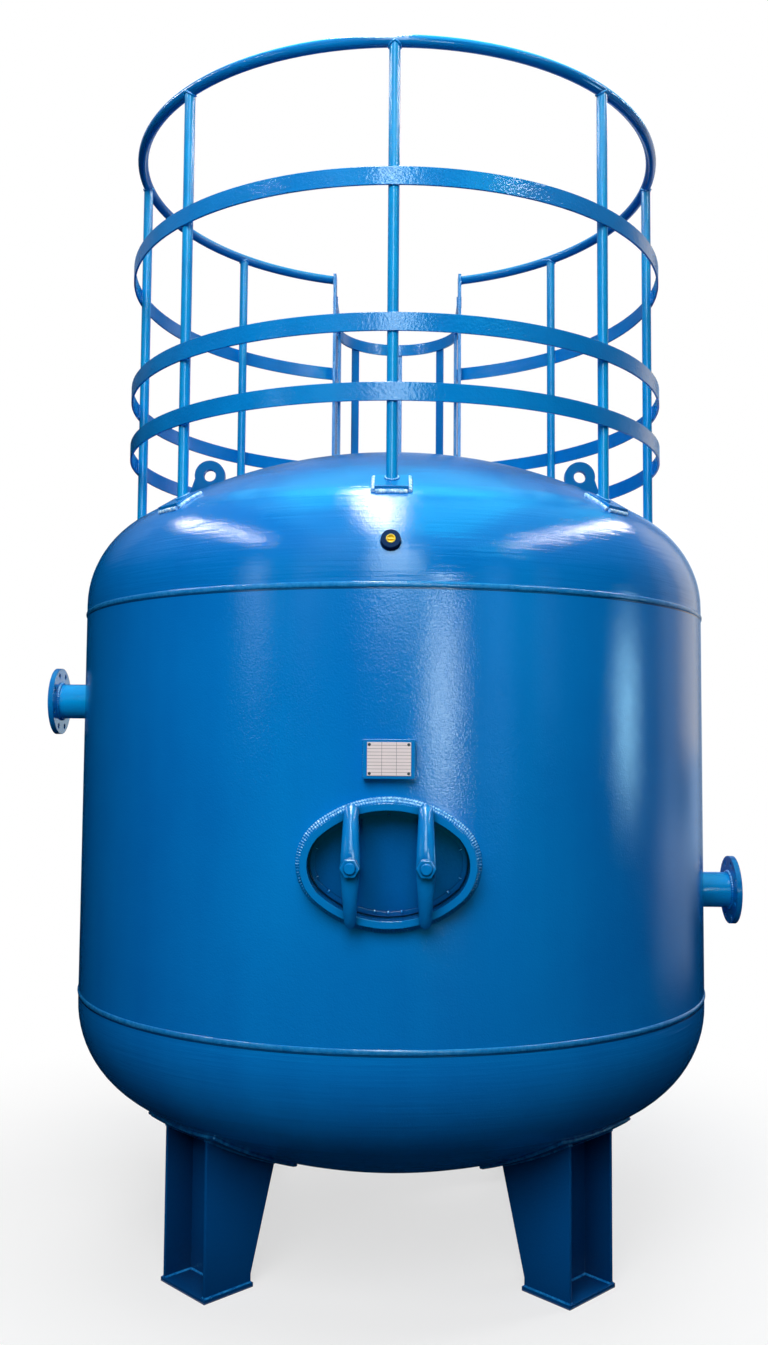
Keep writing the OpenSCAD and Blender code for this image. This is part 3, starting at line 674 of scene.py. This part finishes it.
# The lugs have a darker film than the head: painted shade.
shaded_lug_enamel = enamel("shaded_lug_enamel", (0.0015, 0.150, 0.420), (0.001, 0.120, 0.350), run_mix=0.0, edge=0.003)
dress(shaded_lug_enamel, "left_lifting_lug", "right_lifting_lug")
lug_x, lug_half, lug_top_half, lug_spread = 0.626, 0.0145, 0.0459, 0.34
eye_z = upper_seam + head_rise(lug_x) + 0.092
ends = []
for way in (-1, 1):
    x = lug_x + way * 0.07
    for _ in range(20):
        x = lug_x + way * (lug_top_half + lug_spread * (eye_z - upper_seam - head_rise(x)))
    ends.append(x + way * 0.002)
steps = [i / 20 for i in range(21)]
foot = [(ends[0] + (ends[1] - ends[0]) * t, -lug_half) for t in steps]
foot += [(ends[1] - (ends[1] - ends[0]) * t, lug_half) for t in steps]
lug_runs = [([axis + Vector((side * x, y, upper_seam + head_rise(math.hypot(x, y), 0.002))) for x, y in foot], True)
            for side in (-1, 1)]
weld("lug_welds", bead_enamel, 0.0055, lug_runs)

# Guard
# Tube posts cut to stand on flat plates that are welded to the head, a bent tube rail on top, and three
# bands of rolled flat bar round the outside of the posts, all tacked and welded by hand.

bar_film = dict(cloud_size=9.0, run_mix=0.0, edge=0.002)
rail_enamel = enamel("rail_enamel", (0.0012, 0.212, 0.605), (0.001, 0.180, 0.540), peel_lift=0.0018, **bar_film)
# The posts have a lighter film than the bands: painted light on the posts.
lit_post_enamel = enamel("lit_post_enamel", (0.0015, 0.300, 0.690), (0.0012, 0.240, 0.590), **bar_film)
# The top rail has a darker film than the bands: painted shade.
shaded_hand_rail_enamel = enamel("shaded_hand_rail_enamel", (0.0012, 0.165, 0.510), (0.001, 0.135, 0.440), **bar_film)
# The shoe beads are near white: a painted highlight along the shoe welds.
shoe_bead_highlight_enamel = enamel("shoe_bead_highlight_enamel", (0.72, 0.92, 1.00), (0.06, 0.38, 0.78), **bead_film)
bands = ("upper_band", "middle_band", "lower_band")
dress(shaded_hand_rail_enamel, "top_rail")
dress(rail_enamel, *bands, "post_shoes", "gate_bars")
dress(lit_post_enamel, "front_post", "front_corner_posts", "side_posts", "rear_corner_posts")

guard_r, post_r, rail_r = 0.856, 0.0155, 0.0165
shoe_plate, shoe_side, shoe_front, shoe_rear = 0.011, 0.0485, 0.054, -0.032
rail_low, rail_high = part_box("top_rail")
rail_mid = (rail_low.z + rail_high.z) / 2
slope = math.asin(guard_r / crown_r)
post_runs, shoe_runs = [], []
for step in range(-3, 4):
    angle = math.radians(45 * step)
    out = Vector((math.sin(angle), -math.cos(angle), 0.0))
    across = Vector((math.cos(angle), math.sin(angle), 0.0))
    post = axis + out * guard_r
    for band in bands:
        low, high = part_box(band)
        for side in (-1, 1):
            spot = post + across * side * 0.0085 + out * (post_r - 0.0020)
            post_runs.append(([spot + up * (low.z + 0.003), spot + up * (high.z - 0.003)], False))
    top_r = post_r + 0.001
    post_runs.append(([post + out * top_r * math.cos(t) + across * top_r * math.sin(t)
                       + up * (rail_mid - math.sqrt(rail_r ** 2 - (post_r * math.cos(t)) ** 2) - 0.001)
                       for t in ring], True))
    down = out * math.cos(slope) - up * math.sin(slope)
    normal = out * math.sin(slope) + up * math.cos(slope)
    seat = post + up * (upper_seam + head_rise(guard_r)) + normal * shoe_plate
    seat -= down * shoe_plate * math.tan(slope)
    foot_r = post_r + 0.002
    post_runs.append(([seat + across * foot_r * math.sin(t) + down * foot_r / math.cos(slope) * math.cos(t)
                       + normal * 0.001 for t in ring], True))

    def beside(v, s):
        spot = post + across * v + down * s
        flat = Vector((spot.x - axis.x, spot.y - axis.y, 0.0))
        return axis + flat + up * (upper_seam + head_rise(flat.length, 0.0025))

    sides = [i / 12 for i in range(13)]
    shoe_long = shoe_front - shoe_rear
    shoe_runs.append(([beside(-shoe_side, shoe_front - shoe_long * t) for t in sides]
                      + [beside(-0.045 + 0.09 * t, shoe_rear - 0.0025) for t in sides]
                      + [beside(shoe_side, shoe_rear + shoe_long * t) for t in sides], False))
    shoe_runs.append(([beside(-0.042 + 0.084 * t, shoe_front + 0.0025) for t in sides], False))
weld("post_welds", bead_enamel, 0.0034, post_runs, step=0.0018)
weld("shoe_welds", shoe_bead_highlight_enamel, 0.0066, shoe_runs, step=0.0018)

band_r, gate_x = 0.8745, 0.262
gate_runs = []
for side in (-1, 1):
    for band in bands:
        low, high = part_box(band)
        x = gate_x + 0.0015
        spot = axis + Vector((side * x, math.sqrt(band_r ** 2 - x ** 2) - 0.004, 0.0))
        gate_runs.append(([spot + up * (low.z + 0.003), spot + up * (high.z - 0.003)], False))
    level = axis + Vector((side * (gate_x + 0.001), math.sqrt(guard_r ** 2 - gate_x ** 2), rail_mid))
    gate_runs.append(([level + Vector((0, 0.0168 * math.cos(t), 0.0150 * math.sin(t))) for t in ring[90:180]], False))
weld("gate_welds", bead_enamel, 0.0030, gate_runs, step=0.0018)

# Ladder and cage
# Flat bar stiles with round rungs let into them, brackets to the shell and links to the guard, and a
# cage of rolled flat hoops with five straps, all welded and painted with the guard.

dress(rail_enamel, "left_stile", "right_stile", "rungs", "ladder_brackets", "guard_links", "cage_hoops",
      "cage_straps")
ladder_y = axis.y + 1.180
stile_in, stile_out, stile_front = 0.250, 0.262, ladder_y - 0.030
rung_r, rung_gap = 0.0125, 0.280
bracket_half, link_half, strap_half = 0.028, 0.023, 0.022
rung_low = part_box("rungs")[0].z
rung_runs, bar_runs = [], []


def bar_run(spot, half):
    """Adds a short upright bead."""
    bar_runs.append(([spot - up * half, spot + up * half], False))


bead_r = rung_r + 0.001
for count in range(7):
    level = rung_low + rung_r + rung_gap * count
    for side in (-1, 1):
        rung_runs.append(([(side * (stile_in - 0.001), ladder_y + bead_r * math.cos(t), level + bead_r * math.sin(t))
                           for t in ring], True))
for share in (0.12, 0.5, 0.88):
    level = lower_seam + share * (upper_seam - lower_seam)
    for side in (-1, 1):
        for x in (stile_in - 0.001, stile_out + 0.001):
            bar_run(Vector((side * x, axis.y + math.sqrt(shell_r ** 2 - x ** 2) + 0.001, level)), bracket_half)
            bar_run(Vector((side * x, stile_front, level)), bracket_half)
gate_back = axis.y + math.sqrt(guard_r ** 2 - gate_x ** 2) + 0.030
for drop in (0.081, 0.388, 0.980):
    for side in (-1, 1):
        for x in (stile_in - 0.001, stile_out + 0.001):
            for y in (gate_back, stile_front):
                bar_run(Vector((side * x, y, rail_mid - drop)), link_half)
hoop_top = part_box("cage_hoops")[1].z
hoop_r, hoop_gap, strap_w = 0.270, 0.580, 0.0225
for count in range(3):
    level = hoop_top - 0.025 - hoop_gap * count
    for turn in (5, 45, 90, 135, 175):
        for side in (-1, 1):
            angle = math.radians(turn) + side * strap_w / hoop_r
            reach = hoop_r + 0.0012
            bar_run(Vector((reach * math.cos(angle), ladder_y + reach * math.sin(angle), level)), strap_half)
weld("rung_welds", bead_enamel, 0.0030, rung_runs, step=0.0022)
weld("ladder_welds", bead_enamel, 0.0032, bar_runs, step=0.0022)

# Camera
# The lens stands close to the middle, at chest height, and looks a little upwards.

yaw, pitch, roll = -0.0156, 0.0652, 0.0076
focal_px, frame_h = 1198.04, 1345.0
right = Vector((math.cos(yaw), -math.sin(yaw), 0.0))
ahead = Vector((math.sin(yaw) * math.cos(pitch), math.cos(yaw) * math.cos(pitch), math.sin(pitch)))
upward = right.cross(ahead)
side = math.cos(roll) * right + math.sin(roll) * upward
above = math.cos(roll) * upward - math.sin(roll) * right
lens = bpy.data.cameras.new("lens")
lens.sensor_fit = "VERTICAL"
lens.sensor_height = 36.0
lens.lens = focal_px * lens.sensor_height / frame_h
lens.clip_end = 200.0
camera = bpy.data.objects.new("camera", lens)
camera.matrix_world = Matrix((
    (side.x, above.x, -ahead.x, 0.03235),
    (side.y, above.y, -ahead.y, -4.17872),
    (side.z, above.z, -ahead.z, 1.51349),
    (0.0, 0.0, 0.0, 1.0)))
bpy.context.scene.collection.objects.link(camera)
bpy.context.scene.camera = camera

# Floor, backdrop and lights
# A pale floor under a white backdrop, rows of lamps and panels along the ceiling and tall panels at the
# sides, with a dark drape all round that only shows in the gloss of the paint.


def seen_directly(tree):
    """1 where a camera, mirror or glass ray meets the surface, and 0 for the light it spreads."""
    path = tree.nodes.new("ShaderNodeLightPath").outputs
    both = calc(tree, "MAXIMUM", path["Is Camera Ray"], path["Is Glossy Ray"])
    return calc(tree, "MAXIMUM", both, path["Is Transmission Ray"])


def either_shader(tree, factor, first, second, output):
    """Sends one of two shaders to the output, by a factor."""
    node = tree.nodes.new("ShaderNodeMixShader")
    for socket, value in (("Fac", factor), (1, first), (2, second)):
        link(tree, value, node.inputs[socket])
    link(tree, node.outputs["Shader"], tree.nodes[output].inputs["Surface"])


def stand_by(name, work, finish):
    """Puts a shape on the stage, beside the tank."""
    mesh = bpy.data.meshes.new(name)
    work.to_mesh(mesh)
    work.free()
    mesh.materials.append(finish)
    made = bpy.data.objects.new(name, mesh)
    bpy.context.scene.collection.objects.link(made)
    return made


pale = bpy.data.materials.new("pale_floor")
pale.use_nodes = True
tree = pale.node_tree
shader = tree.nodes["Principled BSDF"]
shader.inputs["Roughness"].default_value = 0.9
shader.inputs["Specular IOR Level"].default_value = 0.0
seen = seen_directly(tree)
link(tree, mixed(tree, seen, (0.09, 0.09, 0.10), (0.90, 0.90, 0.90)), shader.inputs["Base Color"])
reach = tree.nodes.new("ShaderNodeVectorMath")
reach.operation = "LENGTH"
link(tree, object_place(tree), reach.inputs[0])
fade = ranged(tree, reach.outputs["Value"], 1.0, 2.6, 0.65)
fade.node.interpolation_type = "SMOOTHSTEP"
glow = tree.nodes.new("ShaderNodeEmission")
glow.inputs["Color"].default_value = (1.0, 1.0, 1.0, 1.0)
either_shader(tree, calc(tree, "MULTIPLY", fade, seen), shader.outputs["BSDF"], glow.outputs["Emission"],
              "Material Output")
work = bmesh.new()
bmesh.ops.create_grid(work, x_segments=1, y_segments=1, size=60.0)
stand_by("floor", work, pale)

world = bpy.data.worlds.new("white_surround")
bpy.context.scene.world = world
world.use_nodes = True
tree = world.node_tree
soft = tree.nodes["Background"]
white = tree.nodes.new("ShaderNodeBackground")
white.inputs["Color"].default_value = (1.0, 1.0, 1.0, 1.0)
height = split(tree, tree.nodes.new("ShaderNodeTexCoord").outputs["Generated"])["Z"]
link(tree, ranged(tree, height, -0.1, 0.9, 0.05, 0.20), soft.inputs["Strength"])
either_shader(tree, seen_directly(tree), soft.outputs["Background"], white.outputs["Background"], "World Output")


def panel_light(name, place, toward, width, length, radiance, tone=(1.0, 1.0, 1.0), lit=False):
    """A flat lamp of one brightness: a lit one lights the tank, any other only shows in the gloss."""
    lamp = bpy.data.lights.new(name, "AREA")
    lamp.shape = "RECTANGLE"
    lamp.color = tone
    lamp.size, lamp.size_y = width, length
    lamp.energy = radiance * math.pi * width * length
    made = bpy.data.objects.new(name, lamp)
    face = (Vector(toward) - Vector(place)).normalized()
    made.matrix_world = Matrix.Translation(place) @ face.to_track_quat("-Z", "Y").to_matrix().to_4x4()
    made.visible_camera = False
    made.visible_glossy, made.visible_diffuse = not lit, lit
    bpy.context.scene.collection.objects.link(made)


def roof_light(name, place, *rest, **more):
    """A panel that faces straight down."""
    panel_light(name, place, (place[0], place[1], 0.0), *rest, **more)


cool, blue, cyan, teal = (0.72, 0.96, 1.0), (0.18, 0.52, 1.0), (0.02, 0.80, 1.0), (0.06, 0.70, 1.0)
roof_light("row_middle", (-0.25, -1.92, 6.0), 0.70, 4.6, 26.0)
roof_light("row_front", (-0.10, -6.40, 6.0), 0.60, 4.0, 14.0, cool)
panel_light("front_glow", (0.10, -7.80, 4.5), (0.10, -1.1, 4.5), 1.9, 3.3, 6.5, cool)
roof_light("row_left", (-4.20, -1.20, 6.0), 0.34, 5.2, 30.0)
roof_light("row_right", (4.30, -1.05, 6.0), 0.34, 7.6, 30.0)
roof_light("roof_window", (0.2, -0.1, 6.4), 4.2, 2.6, 3.0, cyan)
roof_light("roof_glow", (0.8, -0.7, 6.6), 7.0, 9.0, 1.7, teal)
roof_light("roof_cyan", (1.35, -3.1, 6.4), 1.9, 3.8, 3.8, (0.0, 0.72, 1.0))
roof_light("roof_front", (0.8, -6.8, 6.3), 8.0, 2.8, 1.3, teal)
panel_light("roof_patch", (4.7, -6.1, 6.2), (0.3, -1.1, 2.05), 3.2, 1.3, 1.9, cyan)
panel_light("panel_right", (5.6, -0.95, 1.78), (0.64, -0.94, 1.78), 0.60, 1.0, 14.0, (0.38, 0.80, 1.0))
panel_light("panel_front_right", (2.15, -7.60, 1.95), (0.14, -1.16, 1.7), 0.95, 1.75, 13.0, cool)
panel_light("window_front_left", (-3.6, -6.9, 3.4), (-0.21, -1.15, 2.9), 0.5, 2.2, 0.9, cool)
panel_light("window_left", (-5.4, -5.6, 3.4), (-0.35, -1.10, 2.9), 0.6, 2.2, 3.6, cool)
panel_light("slit_front_right", (4.42, -6.67, 2.6), (0.3, -1.1, 2.5), 0.60, 3.0, 2.8, blue)
panel_light("slit_right", (6.13, -5.14, 2.9), (0.45, -1.05, 2.5), 0.40, 2.4, 2.4, blue)
panel_light("low_right", (4.8, 1.6, 0.55), (0.8, 0.0, 0.9), 2.4, 1.0, 0.55, (0.60, 0.75, 1.0))
panel_light("window_rear", (0.5, 6.0, 1.9), (-1.1, -0.17, 1.67), 1.6, 1.6, 0.9, cool)
panel_light("key_light", (-0.8, -5.2, 4.6), (0.0, 0.0, 1.6), 3.6, 3.6, 7.1, lit=True)
roof_light("top_light", (-0.2, -0.8, 8.0), 6.0, 6.0, 2.5, lit=True)
panel_light("rear_fill", (1.0, 8.0, 4.6), (0.0, 0.0, 1.6), 5.0, 4.0, 4.5, lit=True)
panel_light("right_fill", (5.3, 1.8, 3.0), (0.7, 0.0, 1.6), 1.6, 3.0, 7.5, lit=True)

dark_cloth = bpy.data.materials.new("dark_cloth")
dark_cloth.use_nodes = True
tree = dark_cloth.node_tree
tree.nodes.remove(tree.nodes["Principled BSDF"])
where = object_place(tree)
parts = split(tree, where)
cloth = (0.0, 0.015, 0.04)
for way, start, end, tone in (("Y", -1.0, 3.0, (0.30, 0.42, 0.60)), ("X", 1.0, -3.0, (0.0, 0.015, 0.04)),
                              ("Z", 0.6, 0.0, (0.0, 0.006, 0.02)), ("Y", -2.0, -6.5, (0.0, 0.44, 0.54)),
                              ("Z", 4.5, 7.4, (0.18, 0.27, 0.46))):
    cloth = mixed(tree, ranged(tree, parts[way], start, end), cloth, tone)
folds = noise(tree, mapped(tree, where, Scale=(0.9, 0.9, 0.05)), 1.0, 2.0)
glow = tree.nodes.new("ShaderNodeEmission")
link(tree, cloth, glow.inputs["Color"])
link(tree, ranged(tree, folds, 0.35, 0.65, 0.5, 1.9), glow.inputs["Strength"])
link(tree, glow.outputs["Emission"], tree.nodes["Material Output"].inputs["Surface"])

drape_r, drape_low, drape_high, sill_high = 8.5, 0.004, 7.5, 1.5
work = bmesh.new()
for start, sweep, steps, top in ((-218, 336, 84, drape_high), (118, 24, 6, sill_high)):
    turn = Matrix.Rotation(math.radians(start), 3, "Z")
    line, edges = profile_line(work, [turn @ Vector((0.0, -drape_r, level)) for level in (drape_low, top)])
    bmesh.ops.spin(work, geom=line + edges, cent=(0, 0, 0), axis=(0, 0, 1), angle=math.radians(sweep), steps=steps)
for level in (drape_low, drape_high):
    bmesh.ops.create_circle(work, cap_ends=True, segments=64, radius=drape_r, matrix=Matrix.Translation((0, 0, level)))
drape = stand_by("drape", work, dark_cloth)
for ray in ("visible_camera", "visible_diffuse", "visible_shadow", "visible_transmission", "visible_volume_scatter"):
    setattr(drape, ray, False)

bpy.context.scene.view_settings.view_transform = "Standard"
